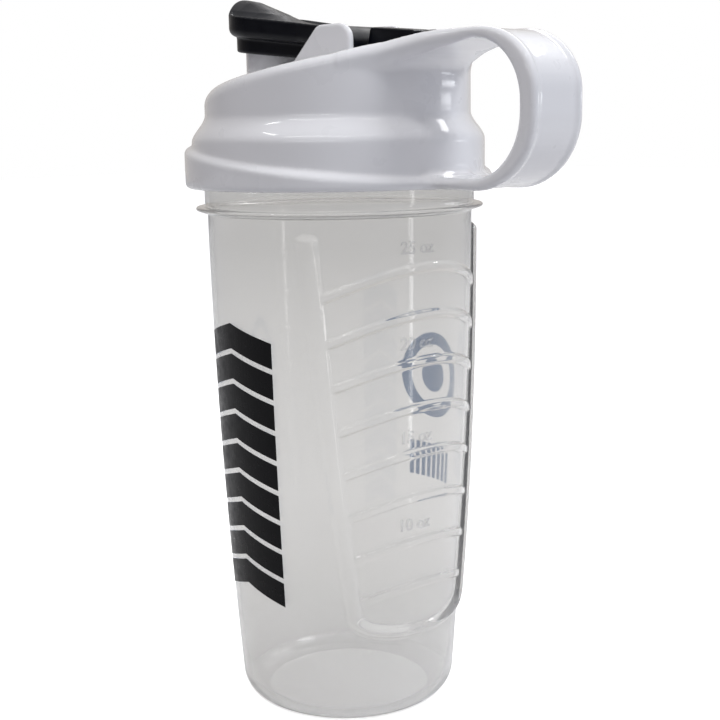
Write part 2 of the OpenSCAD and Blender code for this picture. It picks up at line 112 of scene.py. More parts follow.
def polyline(px, py, points):
    """Distance to an open line."""
    best = np.full(np.broadcast(px, py).shape, 1e9)
    for (ax, ay), (bx, by) in zip(points, points[1:]):
        ex, ey = bx - ax, by - ay
        t = np.clip(((px - ax) * ex + (py - ay) * ey) / (ex * ex + ey * ey), 0, 1)
        best = np.minimum(best, (px - ax - ex * t) ** 2 + (py - ay - ey * t) ** 2)
    return np.sqrt(best)


def arc(x, y, rx, ry, a, b, steps):
    """Points along an arc or a quarter of an ellipse, from angle a to angle b in degrees."""
    angles = [math.radians(a + (b - a) * i / steps) for i in range(steps + 1)]
    return [(x + rx * math.cos(t), y + ry * math.sin(t)) for t in angles]


def rod(x, y, z, cx, cz, r, half_w, edge=0.3):
    """A rod along Y."""
    return meet(np.hypot(x - cx, z - cz) - r, np.abs(y) - half_w, edge)


# ---------------------------------------------------------------- from distances to meshes
CORNERS = [(i, j, k) for i in (0, 1) for j in (0, 1) for k in (0, 1)]
EDGES = [(a, b) for a in CORNERS for b in CORNERS if a < b and sum(abs(p - q) for p, q in zip(a, b)) == 1]


def nets(f, lo, hi, pitch, passes=3):
    """The surface f = 0 as quads of about one pitch, moved on to the surface. Returns (points, quads)."""
    axes = [np.arange(l - 2 * pitch, h + 2.5 * pitch, pitch) for l, h in zip(lo, hi)]
    shape = [len(a) for a in axes]
    v = np.broadcast_to(f(axes[0][:, None, None], axes[1][None, :, None], axes[2][None, None, :]), shape)
    inside = v < 0
    count = sum(
        inside[i : shape[0] - 1 + i, j : shape[1] - 1 + j, k : shape[2] - 1 + k].astype(np.int8)
        for i, j, k in CORNERS
    )
    cells = np.nonzero((count > 0) & (count < 8))
    index = np.full(count.shape, -1, np.int64)
    index[cells] = np.arange(len(cells[0]))
    total, hits = np.zeros((len(cells[0]), 3)), np.zeros(len(cells[0]))
    for a, b in EDGES:
        va, vb = (v[cells[0] + c[0], cells[1] + c[1], cells[2] + c[2]] for c in (a, b))
        crossing = (va < 0) != (vb < 0)
        t = np.where(crossing, va / np.where(crossing, va - vb, 1), 0)
        total += np.where(crossing[:, None], np.array(a) + t[:, None] * (np.array(b) - np.array(a)), 0)
        hits += crossing
    points = (np.stack(cells, 1) + total / hits[:, None]) * pitch + np.array([a[0] for a in axes])
    quads = []
    for axis in range(3):
        ahead = [slice(None)] * 3
        behind = [slice(None)] * 3
        ahead[axis], behind[axis] = slice(1, None), slice(None, -1)
        change = inside[tuple(behind)] != inside[tuple(ahead)]
        place = np.nonzero(change)
        o1, o2 = [d for d in range(3) if d != axis]
        ring = []
        for s1, s2 in ((1, 1), (0, 1), (0, 0), (1, 0)):
            at = list(place)
            at[o1] = at[o1] - s1
            at[o2] = at[o2] - s2
            ring.append(index[tuple(at)])
        ring = np.stack(ring, 1)
        flip = inside[tuple(behind)][place] == (axis == 1)
        ring[flip] = ring[flip][:, ::-1]
        quads.append(ring)
    quads = np.concatenate(quads)
    ends = np.concatenate([quads[:, [0, 1]], quads[:, [1, 2]], quads[:, [2, 3]], quads[:, [3, 0]]])
    for n in range(passes):
        if n < passes - 1:
            points = points + 0.5 * (neighbours_middle(points, ends) - points)
        for _ in range(2):
            points = project(f, points, pitch)
    return points, quads


def neighbours_middle(points, ends):
    """The middle of each point's neighbours. ends holds the two ends of each quad's sides."""
    a, b = ends.T
    n = len(points)
    total = [np.bincount(a, points[b, d], n) + np.bincount(b, points[a, d], n) for d in range(3)]
    count = np.bincount(a, minlength=n) + np.bincount(b, minlength=n)
    return np.stack(total, 1) / count[:, None]


def project(f, points, pitch):
    """The points moved towards f = 0 along its slope, by half a pitch at most."""
    value, slope = field(f, points)
    move = value[:, None] * slope / np.maximum((slope**2).sum(1), 0.25)[:, None]
    size = np.linalg.norm(move, axis=1, keepdims=True)
    return points - move * np.minimum(1, 0.5 * pitch / np.maximum(size, 1e-9))


def field(f, points, d=0.02):
    """f and its slope at the points."""
    value = f(*points.T)
    slope = np.stack([(f(*(points + d * e).T) - f(*(points - d * e).T)) / (2 * d) for e in np.eye(3)], 1)
    return value, slope


def mesh_object(name, points, faces, smooth=True):
    """An object of points in mm. The faces are a list of lists of point numbers, or an array of quads."""
    mesh = bpy.data.meshes.new(name)
    rows = faces if isinstance(faces, list) else faces.tolist()
    mesh.from_pydata((np.asarray(points) * MM).tolist(), [], rows)
    mesh.update()
    if smooth:
        mesh.shade_smooth()
    o = bpy.data.objects.new(name, mesh)
    bpy.context.scene.collection.objects.link(o)
    return o


# ---------------------------------------------------------------- cup
def cup_r(z):
    """The outside radius of the cup's wall."""
    t = z / FLANGE_Z
    return CUP_BASE_R + (CUP_TOP_R - CUP_BASE_R) * t + 4 * CUP_BULGE * t * (1 - t)


def panel_half(z):
    """Half the grip panel's width."""
    u = (z - PANEL_FOOT_Z) / (PANEL_TOP_Z - PANEL_FOOT_Z)
    return PANEL_BOTTOM_W + (PANEL_TOP_W - PANEL_BOTTOM_W) * u + 4 * PANEL_BOW * u * (1 - u)


def panel_line(d, top):
    """The panel's sides and bottom, grown by d, as one open line. The bottom is a half superellipse."""
    power, depth = 2.6, PANEL_FOOT_Z - PANEL_BOTTOM_Z + d
    side = [(panel_half(z) + d, z) for z in np.linspace(top, PANEL_FOOT_Z, 14)]
    foot = []
    for i in range(1, 25):
        a = math.radians(90 * i / 24)
        across = (PANEL_BOTTOM_W + d) * math.cos(a) ** (2 / power)
        foot.append((across, PANEL_FOOT_Z - depth * math.sin(a) ** (2 / power)))
    half = side + foot
    half[-1] = (0.0, PANEL_FOOT_Z - depth)
    return half + [(-u, z) for u, z in half[-2::-1]]


RIDGE_LINE = panel_line(RIDGE_W / 2, PANEL_TOP_Z - 1.5)
PANEL_EDGE = panel_line(0.6, PANEL_TOP_Z + 3)


def cup_relief(angle, z, r):
    """How far the ridge and the ribs stand out of the wall."""
    turned = angle - PANEL_TURN
    u = r * np.sin(turned)
    front = np.cos(turned) > 0.3
    half_w = RIDGE_W / 2 + 0.25
    t = np.clip(polyline(u, z, RIDGE_LINE) / half_w, 0, 1)
    ridge = RIDGE_H * (1 - t * t) ** 1.35
    # The nearest rib, counted from the lowest
    arch = np.sqrt(np.maximum(RIB_ARCH_R**2 - u * u, 1))
    k = np.clip(np.round((z + RIB_ARCH_R - arch - RIB_Z0) / RIB_PITCH), 0, RIB_COUNT - 1)
    crown = RIB_Z0 + k * RIB_PITCH
    off = np.abs(np.hypot(u, z - (crown - RIB_ARCH_R)) - RIB_ARCH_R)
    rib = RIB_H * (1 - step(off, 0.85, 1.6))
    rib *= step(-polygon(u, z, PANEL_EDGE), -0.6, 0.2)
    return np.where(front, np.maximum(ridge, rib), 0)


def thread_relief(angle, z, first_z, turns, run=0.11):
    """The thread's height as a share of its depth. It rises over the part run of a turn at each end."""
    best = np.zeros(np.broadcast(angle, z).shape)
    for k in range(-1, 3):
        turn = np.mod(angle / (2 * math.pi), 1) + k
        lift = first_z + PITCH * turn
        flank = np.clip((1.2 - np.abs(z - lift)) / 0.65, 0, 1)
        ends = np.clip(np.minimum(turn, turns - turn) / run, 0, 1)
        best = np.maximum(best, flank * flank * (3 - 2 * flank) * ends)
    return best


def cup_profile():
    """The cup's section, from the middle of the base up the outside and down the inside: (r, z, kind)."""
    edge_x = cup_r(BASE_EDGE) - BASE_EDGE
    rows = [(r, 0.0, "plain") for r in (3, 10, 18, 24)]
    rows += [(x, z, "plain") for x, z in arc(edge_x, BASE_EDGE, BASE_EDGE, BASE_EDGE, -90, 0, 14)]
    rows += [(cup_r(z), z, "wall") for z in np.arange(11, 28, 2.0)]
    rows += [(cup_r(z), z, "wall") for z in np.arange(28, 165.2, 0.36)]
    rows += [(cup_r(z), z, "wall") for z in (166, 167, 167.8)]
    root = cup_r(FLANGE_Z)
    rows += [(x, z, "plain") for x, z in arc(root + 0.9, 168.0, 0.9, 0.7, 180, 90, 4)]
    rows += [(46.0, 168.85, "plain"), (47.0, 169.15, "plain")]
    rows += [(x, z, "plain") for x, z in arc(FLANGE_R - 0.55, 170.0, 0.55, 0.6, -70, 90, 6)]
    rows += [(46.6, FLANGE_TOP, "plain"), (45.8, FLANGE_TOP, "plain")]
    rows += [(x, z, "plain") for x, z in arc(NECK_R + 0.5, FLANGE_TOP + 0.5, 0.5, 0.5, 270, 180, 3)]
    rows += [(NECK_R, z, "neck") for z in np.arange(173, 190.4, 0.42)]
    rows += [(x, z, "plain") for x, z in arc(NECK_R - 0.7, RIM_Z - 0.7, 0.7, 0.7, 0, 180, 8)]
    inner = NECK_R - CUP_WALL
    rows += [(inner, z, "plain") for z in (188, 184, 180, 176, 172, 170.2)]
    rows += [(cup_r(z) - CUP_WALL, z, "plain") for z in np.linspace(165, BASE_EDGE + 5, 40)]
    rim = BASE_EDGE - CUP_WALL
    rows += [(x, z, "plain") for x, z in arc(edge_x, CUP_FLOOR + rim, rim, rim, 0, -90, 12)]
    rows += [(r, CUP_FLOOR, "plain") for r in (20, 10, 3)]
    return rows


def ring_angles():
    """Angles round the cup, close together over the grip panel."""
    half = math.radians(62)
    fine = np.linspace(-half, half, 230)
    rest = np.linspace(half, 2 * math.pi - half, 92)[1:-1]
    return np.concatenate([fine, rest]) + PANEL_TURN


def make_cup():
    """Rings of points round the section's rows, with the ridge, the ribs and the thread in their radius."""
    rows, angles = cup_profile(), ring_angles()
    n = len(angles)
    rings = []
    for r, z, kind in rows:
        radius = np.full(n, float(r))
        if kind == "wall":
            radius += cup_relief(angles, np.full(n, z), r)
        elif kind == "neck":
            radius += THREAD_DEPTH * thread_relief(angles, np.full(n, z), CUP_THREAD_Z, CUP_THREAD_TURNS)
        rings.append(np.stack([radius * np.cos(angles), radius * np.sin(angles), np.full(n, z)], 1))
    points = np.concatenate(rings + [np.array([[0, 0, 0.0]]), np.array([[0, 0, CUP_FLOOR]])])
    m, j = len(rows), np.arange(n)
    k = (j + 1) % n
    faces = []
    for i in range(m - 1):
        faces += np.stack([i * n + j, i * n + k, (i + 1) * n + k, (i + 1) * n + j], 1).tolist()
    faces += [[m * n, b, a] for a, b in zip(j, k)]
    faces += [[m * n + 1, (m - 1) * n + a, (m - 1) * n + b] for a, b in zip(j, k)]
    return mesh_object("cup_shell", points, faces)


# ---------------------------------------------------------------- lid
def deck_at(x):
    """The height of the lid's sloping deck."""
    return 212.8 + 0.163 * x + 0.00085 * x * x


def lid_side_r(z):
    """The radius of the lid's wall, which widens down to the upper ring."""
    return WALL_R + (RING_HIGH_R - WALL_R) * step(-z, -200.5, -191.5)


# The loop seen from the side. Each corner is a quarter of an ellipse: (radius along X, radius along Z).
TOP_CORNER, BOTTOM_CORNER, HOLE_TOP, HOLE_BOTTOM = (20.5, 18.9), (22.5, 22.5), (17.5, 18.2), (17.5, 19.4)
HOLE_X, HOLE_TOP_Z, HOLE_BOTTOM_Z = STRAP_REACH - 5.8, STRAP_TOP_Z - 3.2, STRAP_BOTTOM_Z + 3.7


def corner(x, z, radii, a, b):
    """A rounded corner whose box ends at x and at z."""
    rx, rz = radii
    top = a == 90 or b == 90
    return arc(x - rx, z - rz if top else z + rz, rx, rz, a, b, 18)


LOOP_OUTSIDE = (
    [(0.0, 200.0)]
    + [(x, deck_at(x) - 0.02) for x in (0.0, 8.0, 16.0, 24.0, 32.0, 40.0)]
    + [(45.0, 222.0), (50.0, 223.0), (55.0, 223.7), (60.0, 224.1), (65.0, 224.35)]
    + corner(STRAP_REACH, STRAP_TOP_Z, TOP_CORNER, 90, 0)
    + corner(STRAP_REACH, STRAP_BOTTOM_Z, BOTTOM_CORNER, 0, -90)
    + [(20.0, STRAP_BOTTOM_Z)]
)
LOOP_INSIDE = (
    [(-1.0, 200.0), (-1.0, 209.5), (22.0, 210.8), (30.0, 211.9), (36.0, 213.2), (41.0, 214.5)]
    + [(46.0, 216.0), (50.0, 217.3), (54.0, 218.4), (59.0, 219.6), (63.0, 220.6)]
    + corner(HOLE_X, HOLE_TOP_Z, HOLE_TOP, 90, 0)
    + corner(HOLE_X, HOLE_BOTTOM_Z, HOLE_BOTTOM, 0, -90)
    + [(20.0, HOLE_BOTTOM_Z)]
)
TANGENT = WALL_R * math.sin(math.radians(45))
DECK_WEDGE = [
    (-2.0, -TANGENT), (TANGENT, -TANGENT), (2 * TANGENT, 0.0), (TANGENT, TANGENT), (-2.0, TANGENT),
]
EAR = (
    [(-13.0, 209.0), (-12.4, 212.0)]
    + arc(6.4, EAR_TOP - 5, 5, 5, 133, 90, 5)
    + arc(13.9, EAR_TOP - 5.2, 5.2, 5.2, 90, 0, 8)
    + [(19.1, 209.0)]
)


def band(x, y, z):
    """The deck's overhang and the carry loop, one band that narrows from the lid's width to the strap's."""
    outer = polygon(x, z, LOOP_OUTSIDE)
    inner = polygon(x, z, LOOP_INSIDE)
    side = np.abs(y) - STRAP_W / 2
    plan = np.where(z > 200, join(polygon(x, y, DECK_WEDGE), side, 12.0), side)
    # A bead runs along the overhang's edge, and the loop's broad outer face lies a little below its rails
    bead = step(plan, -4.6, -2.4) * step(x, 27, 37) * (1 - step(x, 50, 64)) * (z > 200)
    recess = (1 - step(np.abs(y), 8.2, 10.2)) * step(x, 58, 72)
    outer = outer - 0.8 * bead + 0.5 * recess
    edge = np.interp(x, [30, 40, 52, 64], [3.4, 4.3, 4.0, 2.0])
    return np.maximum(meet(meet(outer, -inner, 0.9), plan, edge), 1 - x)


def lid(x, y, z):
    """The lid: skirt rings, wall, deck, band, spout, ears and catch, less the inside, with its thread."""
    r = np.hypot(x, y)
    deck = (z - deck_at(x)) * 0.985
    top_plane = (z - RING_LOW_TOP + RING_SLOPE * x) / math.hypot(1, RING_SLOPE)
    low = meet(r - RING_LOW_R, top_plane, 2.0)
    high = meet((r - lid_side_r(z)) * 0.9, deck, np.interp(x, [-25, 30], [5.5, 3.4]))
    body = join(low, high, 1.3)
    body = meet(body, SKIRT_Z - z, 1.8)
    # The deck runs on past the wall to the loop
    body = np.maximum(join(body, band(x, y, z), np.interp(x, [32, 46], [0.9, 3.0])), SKIRT_Z - z)
    spout = meet(np.hypot(x - SPOUT_X, y) - SPOUT_R, z - SPOUT_TOP, 0.7)
    body = join(body, np.maximum(spout, 203 - z), 1.2)
    ear_sides = np.abs(np.abs(y) - (EAR_IN + EAR_OUT) / 2) - (EAR_OUT - EAR_IN) / 2
    body = join(body, meet(polygon(x, z, EAR), ear_sides, 0.8), 1.2)
    catch = np.maximum(np.abs(x - CATCH_X) - CATCH_HALF_X, np.abs(y) - CATCH_HALF_W)
    body = np.minimum(body, meet(catch, np.maximum(z - CATCH_TOP, CATCH_BOTTOM - z), 0.3))
    # The inside
    groove = 0.5 * np.exp(-(((z - SNAP_Z) / 0.5) ** 2))
    below_ledge = meet(r - np.interp(z, [178.3, 179.4], [SKIRT_RELIEF_R, BORE_R]), z - LEDGE_Z, 0.3)
    above_ledge = r - np.interp(z, [LEDGE_Z, LEDGE_Z + 1], [GASKET_IN, INNER_R]) - groove
    roof = deck + LID_WALL
    trough_wall = rod(x, y, z, HINGE_X, HINGE_Z, TROUGH_R + LID_WALL - 0.2, EAR_OUT)
    room = meet(np.minimum(below_ledge, above_ledge), roof, 1.5)
    room = cut(room, trough_wall, 0.5)
    body = cut(body, room, 0.4)
    body = cut(body, np.maximum(np.hypot(x - SPOUT_X, y) - SPOUT_BORE, 195 - z), 0.5)
    body = cut(body, rod(x, y, z, HINGE_X, HINGE_Z, TROUGH_R, EAR_IN, 0.2), 0.5)
    hole = np.maximum(np.hypot(x - HINGE_X, z - HINGE_Z) - PIN_R - 0.05, PIN_HOLE_END - y)
    body = cut(body, hole, 0.2)
    angle = np.arctan2(y, x)
    thread = BORE_R - r - THREAD_DEPTH * thread_relief(angle, z, LID_THREAD_Z, LID_THREAD_TURNS)
    crest = np.maximum(np.maximum(thread * 0.8, r - (BORE_R + 0.6)), np.maximum(180 - z, z - 192))
    return np.minimum(body, crest)


def make_lid():
    points, quads = nets(lid, (-51.2, -51.2, 176.7), (90.2, 51.2, 228.5), 0.8)
    return mesh_object("lid_shell", points, quads)


# ---------------------------------------------------------------- flip cap
def cap_top_at(x):
    """The height of the cap's sloping rim."""
    return CAP_TOP - CAP_SLOPE * (x - SPOUT_X)


CAP_PLAN = (
    arc(SPOUT_X, 0, CAP_R, CAP_R, 84, 276, 36)
    + [(-8.0, -CAP_HALF_W), (HINGE_X, -CAP_HALF_W), (HINGE_X, CAP_HALF_W), (-8.0, CAP_HALF_W)]
)
# The thumb lip's height above the rim, along X
LIP_X = [-47.0, -44.2, -43.5, -38.5, -32.4, -26.4, -19.7, -14.6, -9.0]
LIP_H = [4.8, 5.0, 5.0, 4.8, 3.35, 1.8, 0.6, 0.2, 0.0]


def flip_cap(x, y, z):
    """The cap: dished top with its thumb lip, hinge barrel, and the rooms for the spout and the pin."""
    plan = polygon(x, y, CAP_PLAN)
    rim = cap_top_at(x)
    # The top: a rim, a shallow dish inside it, and the thumb lip's soft mound along the middle
    depth = np.clip(-plan, 0, 30)
    lip = np.interp(x, LIP_X, LIP_H)
    reach = np.interp(x, [-46, -41, -36, -30, -20, -8, 10], [13.6, 13.4, 13.4, 13.6, 11.4, 8.6, 8.0])
    mound = lip * (1 - np.clip(np.abs(y) / reach, 0, 1) ** 2) ** 2
    dish = 0.9 * step(depth, 0.7, 1.9) * (1 - np.clip(mound / 1.5, 0, 1)) * (1 - step(x, -6, 4))
    top = rim + mound - dish
    bottom = np.interp(x, [-50, -3, 6, 11, 30], [228.3, 222.3, 217.4, 216.2, 216.2])
    body = meet(plan, (bottom - z) * 0.97, 2.6)
    body = meet(body, (z - top) * 0.93, 0.6)
    low = np.interp(x, [-50, -5], [223.0, 218.0])
    collar = meet(plan + COLLAR_INSET, (low - z) * 0.97, 0.7)
    collar = np.maximum(np.maximum(collar, z - 229), x + 5)
    body = join(body, collar, 0.4)
    body = join(body, rod(x, y, z, HINGE_X, HINGE_Z, BARREL_R, CAP_HALF_W, 0.5), 0.8)
    spout_room = np.maximum(np.hypot(x - SPOUT_X, y) - SPOUT_R - 0.7, z - CAP_ROOF)
    middle = np.maximum(np.abs(x - CAP_ROOM_X) - CAP_ROOM_HALF, np.abs(y) - CAP_ROOM_HALF)
    body = cut(body, spout_room, 0.4)
    body = cut(body, np.maximum(middle, z - CAP_ROOF), 0.4)
    return cut(body, np.hypot(x - HINGE_X, z - HINGE_Z) - PIN_R - 0.06, 0.2)


def make_cap():
    points, quads = nets(flip_cap, (-45.8, -15.8, 212.4), (18.8, 15.8, 240), 0.5)
    return mesh_object("cap_shell", points, quads)


# ---------------------------------------------------------------- hinge cover
# Both outlines are seen from the side. The block stands on the deck, and the tongue hooks over the catch.
COVER = (
    [(COVER_START, 221.2), (20.4, 226.8), (21.0, 227.15), (38.0, 225.5), (COVER_END, 225.0)]
    + [(x, deck_at(x) + 0.05) for x in (COVER_END, 34.0, 28.0, COVER_START)]
)
TONGUE = [
    (37.5, 224.3), (37.5, 225.2), (43.2, 225.2), (44.9, 223.6), (45.2, 222.6), (44.4, 222.6), (43.2, 224.3),
]


def hinge_cover(x, y, z):
    """The block and its tongue, whose tops fall off a little to the sides."""
    block = polygon(x, z + 0.35 * (y / COVER_HALF_W) ** 2, COVER)
    block = meet(block, np.abs(y) - COVER_HALF_W, 0.55)
    tongue = meet(polygon(x, z + 0.09 * y**2, TONGUE), np.abs(y) - TONGUE_HALF_W, 0.3)
    return join(block, tongue, 0.3)


def make_cover():
    points, quads = nets(hinge_cover, (18.6, -5.6, 215), (45.6, 5.6, 228), 0.36)
    return mesh_object("cover_shell", points, quads)


# ---------------------------------------------------------------- print and graduations on the cup
def on_wall(angle, z, lift):
    """Points in mm at a height above the cup's wall."""
    r = cup_r(z) + lift
    return np.stack([r * np.cos(angle), r * np.sin(angle), np.broadcast_to(z, np.shape(angle))], -1)


def patch(grid_angle, grid_z, lift=0.03, thick=0.05):
    """A thin closed skin on the wall, from grids of angle and height.

    Returns (points, faces, 1 for each face that lies on the wall and 0 for the others).
    """
    n, m = grid_angle.shape
    skins = [on_wall(grid_angle, grid_z, lift + t).reshape(-1, 3) for t in (thick, 0)]
    a = np.arange(n * m).reshape(n, m)
    top = np.stack([a[:-1, :-1], a[1:, :-1], a[1:, 1:], a[:-1, 1:]], -1).reshape(-1, 4)
    edge = np.concatenate([a[0, :-1], a[:-1, -1], a[-1, :0:-1], a[:0:-1, 0]])
    after = np.roll(edge, -1)
    s = n * m
    rim = np.stack([edge, after, after + s, edge + s], 1)
    under = np.repeat([0, 1, 0], [len(top), len(top), len(rim)])
    return np.concatenate(skins), np.concatenate([top, top[:, ::-1] + s, rim]), under


def join_patches(name, patches):
    """One piece of many patches. Its second material is the ink as it is seen through the wall, tinted and
    lit with painted haze.
    """
    starts = np.cumsum([0] + [len(p) for p, _, _ in patches[:-1]])
    points = np.concatenate([p for p, _, _ in patches])
    faces = np.concatenate([f + n for (_, f, _), n in zip(patches, starts)])
    under = np.concatenate([u for _, _, u in patches])
    o = mesh_object(name, points, faces, smooth=False)
    o.data.polygons.foreach_set("material_index", under.astype(np.int32))
    return o


def chevrons(name, mid, half, z_low, z_high, count, gap, rise):
    """A column of stacked chevron bars, as a plain sports stripe."""
    made = []
    pitch = (z_high - z_low) / count
    for i in range(count):
        base = z_low + i * pitch
        for side in (-1, 1):
            u = np.linspace(0, 1, 14)[:, None]
            v = np.linspace(0, 1, 8)[None, :]
            angle = mid + side * half * (u + 0 * v)
            z = base + rise * (1 - u) + (pitch - gap) * v
            if side == 1:
                angle, z = angle[::-1], z[::-1]
            made.append(patch(angle[::-1], z[::-1]))
    return join_patches(name, made)


def bar(mid, z_mid, across, up, width, height):
    """A small upright rectangle, placed from a middle by its distances across and up the wall."""
    u = np.linspace(-0.5, 0.5, 3 + int(width / 1.5))[:, None]
    v = np.linspace(-0.5, 0.5, 3 + int(height / 3))[None, :]
    return patch(mid + (across + width * u + 0 * v) / cup_r(z_mid), z_mid + up + height * v + 0 * u)


def badge(name, mid, z_mid, radius):
    """A plain ring with a disc in it, and a row of upright bars below."""
    band_w, disc, r_wall = 4.4, 6.2, cup_r(z_mid)
    turn = np.linspace(0, 2 * math.pi, 73)[:, None]
    rad = np.linspace(radius, radius - band_w, 4)[None, :]
    made = [patch(mid + rad * np.cos(turn) / r_wall, z_mid + rad * np.sin(turn))]
    # A square grid, bent into a disc, has no hole in its middle
    u, v = np.meshgrid(np.linspace(-1, 1, 17), np.linspace(-1, 1, 17), indexing="ij")
    across = disc * u * np.sqrt(1 - v * v / 2)
    made.append(patch(mid + across / r_wall, z_mid + disc * v * np.sqrt(1 - u * u / 2)))
    count, pitch, bar_w, bar_h = 8, 2.95, 1.9, 12.6
    for k in range(count):
        made.append(bar(mid, z_mid, (k - (count - 1) / 2) * pitch, -2.05 * radius, bar_w, bar_h))
    return join_patches(name, made)


LETTERS_TURN, LETTERS_H = math.radians(-12), 5.6
LETTERS = (("25 oz", 158.7), ("20 oz", 128.5), ("15 oz", 98.0), ("10 oz", 68.7))


def graduation(text, z, size):
    """The mesh of raised numbers, wrapped round the wall near the middle of the panel."""
    curve = bpy.data.curves.new("grad", "FONT")
    curve.body = text
    curve.size = size * MM
    curve.align_x = "CENTER"
    curve.align_y = "CENTER"
    curve.extrude = 0.3 * MM
    curve.bevel_depth = 0.08 * MM
    curve.bevel_resolution = 1
    curve.resolution_u = 5
    o = bpy.data.objects.new("grad", curve)
    bpy.context.scene.collection.objects.link(o)
    bpy.context.view_layer.update()
    mesh = bpy.data.meshes.new_from_object(o.evaluated_get(bpy.context.evaluated_depsgraph_get()))
    bpy.data.objects.remove(o)
    for v in mesh.vertices:
        x, y, lift = v.co / MM
        h = z + y
        angle = LETTERS_TURN + x / cup_r(h)
        v.co = Vector(on_wall(np.array(angle), np.array(h), lift)) * MM
    return mesh


def make_graduations():
    """All the raised numbers as one piece."""
    bm = bmesh.new()
    for text, z in LETTERS:
        bm.from_mesh(graduation(text, z, LETTERS_H))
    bmesh.ops.remove_doubles(bm, verts=bm.verts, dist=1e-7)
    mesh = bpy.data.meshes.new("cup_graduations")
    bm.to_mesh(mesh)
    o = bpy.data.objects.new("cup_graduations", mesh)
    bpy.context.scene.collection.objects.link(o)
    return o


# ---------------------------------------------------------------- materials
def material(name, colour, roughness, **sockets):
    """A new material, its node tree and its shader. A socket's name has _ in place of each space."""
    m = bpy.data.materials.new(name)
    m.use_nodes = True
    shader = m.node_tree.nodes["Principled BSDF"]
    shader.inputs["Base Color"].default_value = (*colour, 1)
    shader.inputs["Roughness"].default_value = roughness
    for key, value in sockets.items():
        shader.inputs[key.replace("_", " ")].default_value = value
    return m, m.node_tree, shader


def node(tree, kind, values=(), **props):
    """A new node, with values for its sockets and props for its own settings."""
    n = tree.nodes.new(kind)
    for key, value in props.items():
        setattr(n, key, value)
    for key, value in dict(values).items():
        n.inputs[key].default_value = value
    return n


def noise(tree, scale, detail=3.0, rough=0.55, stretch=(1, 1, 1)):
    """Noise in the object's own metres."""
    place = node(tree, "ShaderNodeTexCoord")
    mapping = node(tree, "ShaderNodeMapping", {"Scale": stretch})
    tree.links.new(place.outputs["Object"], mapping.inputs["Vector"])
    n = node(tree, "ShaderNodeTexNoise", {"Scale": scale, "Detail": detail, "Roughness": rough})
    tree.links.new(mapping.outputs["Vector"], n.inputs["Vector"])
    return n.outputs["Fac"]


def ramp(tree, value, a, b, low=0.0, high=1.0):
    """a where the value is low, and b where it is high."""
    n = node(tree, "ShaderNodeMapRange", {"From Min": low, "From Max": high, "To Min": a, "To Max": b})
    tree.links.new(value, n.inputs["Value"])
    return n.outputs["Result"]


def tint(tree, value, a, b):
    """Colour a where the value is 0, and b where it is 1. Each is a colour or an output that carries one."""
    n = node(tree, "ShaderNodeMix", data_type="RGBA")
    tree.links.new(value, n.inputs[0])
    for socket, colour in ((n.inputs[6], a), (n.inputs[7], b)):
        if isinstance(colour, tuple):
            socket.default_value = (*colour, 1)
        else:
            tree.links.new(colour, socket)
    return n.outputs[2]


def maths(tree, operation, a, b):
    """The sum or product of two outputs."""
    n = node(tree, "ShaderNodeMath", operation=operation)
    tree.links.new(a, n.inputs[0])
    tree.links.new(b, n.inputs[1])
    return n.outputs[0]


def bump(tree, shader, height, distance, strength=1.0):
    n = node(tree, "ShaderNodeBump", {"Strength": strength, "Distance": distance})
    tree.links.new(height, n.inputs["Height"])
    tree.links.new(n.outputs["Normal"], shader.inputs["Normal"])


def uneven_roughness(tree, shader, cloud, smoothest, roughest):
    """A roughness that wanders between two values with a cloud of noise."""
    tree.links.new(ramp(tree, cloud, smoothest, roughest, 0.3, 0.7), shader.inputs["Roughness"])


def white_plastic(name, colour, other, roughness=0.2):
    """Gloss polypropylene: a clear coat over a duller white that varies a little."""
    coat = {"Coat_Weight": 1.0, "Coat_Roughness": 0.04, "Coat_IOR": 1.5}
    m, tree, shader = material(name, colour, roughness, IOR=1.35, **coat)
    tree.links.new(tint(tree, noise(tree, 14.0), colour, other), shader.inputs["Base Color"])
    uneven_roughness(tree, shader, noise(tree, 60.0, 4.0), roughness - 0.02, roughness + 0.03)
    bump(tree, shader, noise(tree, 90.0, 2.0), 0.00003, 0.25)
    return m


def black_plastic(name, roughness):
    """Fine-grained blue-black polypropylene."""
    dark, light = (0.0006, 0.0009, 0.0028), (0.0018, 0.0024, 0.0055)
    m, tree, shader = material(name, dark, roughness, IOR=1.5, Specular_IOR_Level=0.22)
    tree.links.new(tint(tree, noise(tree, 60.0), dark, light), shader.inputs["Base Color"])
    uneven_roughness(tree, shader, noise(tree, 240.0, 4.0), roughness - 0.06, roughness + 0.08)
    bump(tree, shader, noise(tree, 1500.0, 2.0), 0.00004, 0.5)
    return m


def frosted():
    """Clear polypropylene with a faint haze, a little milkier just above its base."""
    clear, milky, milky_z, clear_z = 0.93, 0.72, 0.002, 0.06
    coat = {"Coat_Weight": 1.0, "Coat_Roughness": 0.04, "Coat_IOR": 1.5}
    tone = (0.93, 0.925, 0.915)
    m, tree, shader = material("frosted_cup", tone, 0.04, IOR=1.27, Transmission_Weight=clear, **coat)
    haze = noise(tree, 34.0, 3.0, stretch=(1, 1, 0.35))
    spot, split = node(tree, "ShaderNodeTexCoord"), node(tree, "ShaderNodeSeparateXYZ")
    tree.links.new(spot.outputs["Object"], split.inputs[0])
    through = ramp(tree, split.outputs["Z"], milky, clear, milky_z, clear_z)
    tree.links.new(through, shader.inputs["Transmission Weight"])
    hazy = tint(tree, haze, (0.935, 0.927, 0.917), (0.965, 0.962, 0.957))
    tree.links.new(hazy, shader.inputs["Base Color"])
    uneven_roughness(tree, shader, noise(tree, 130.0, 4.0), 0.03, 0.07)
    bump(tree, shader, noise(tree, 60.0, 2.0), 0.00002, 0.3)
    return m


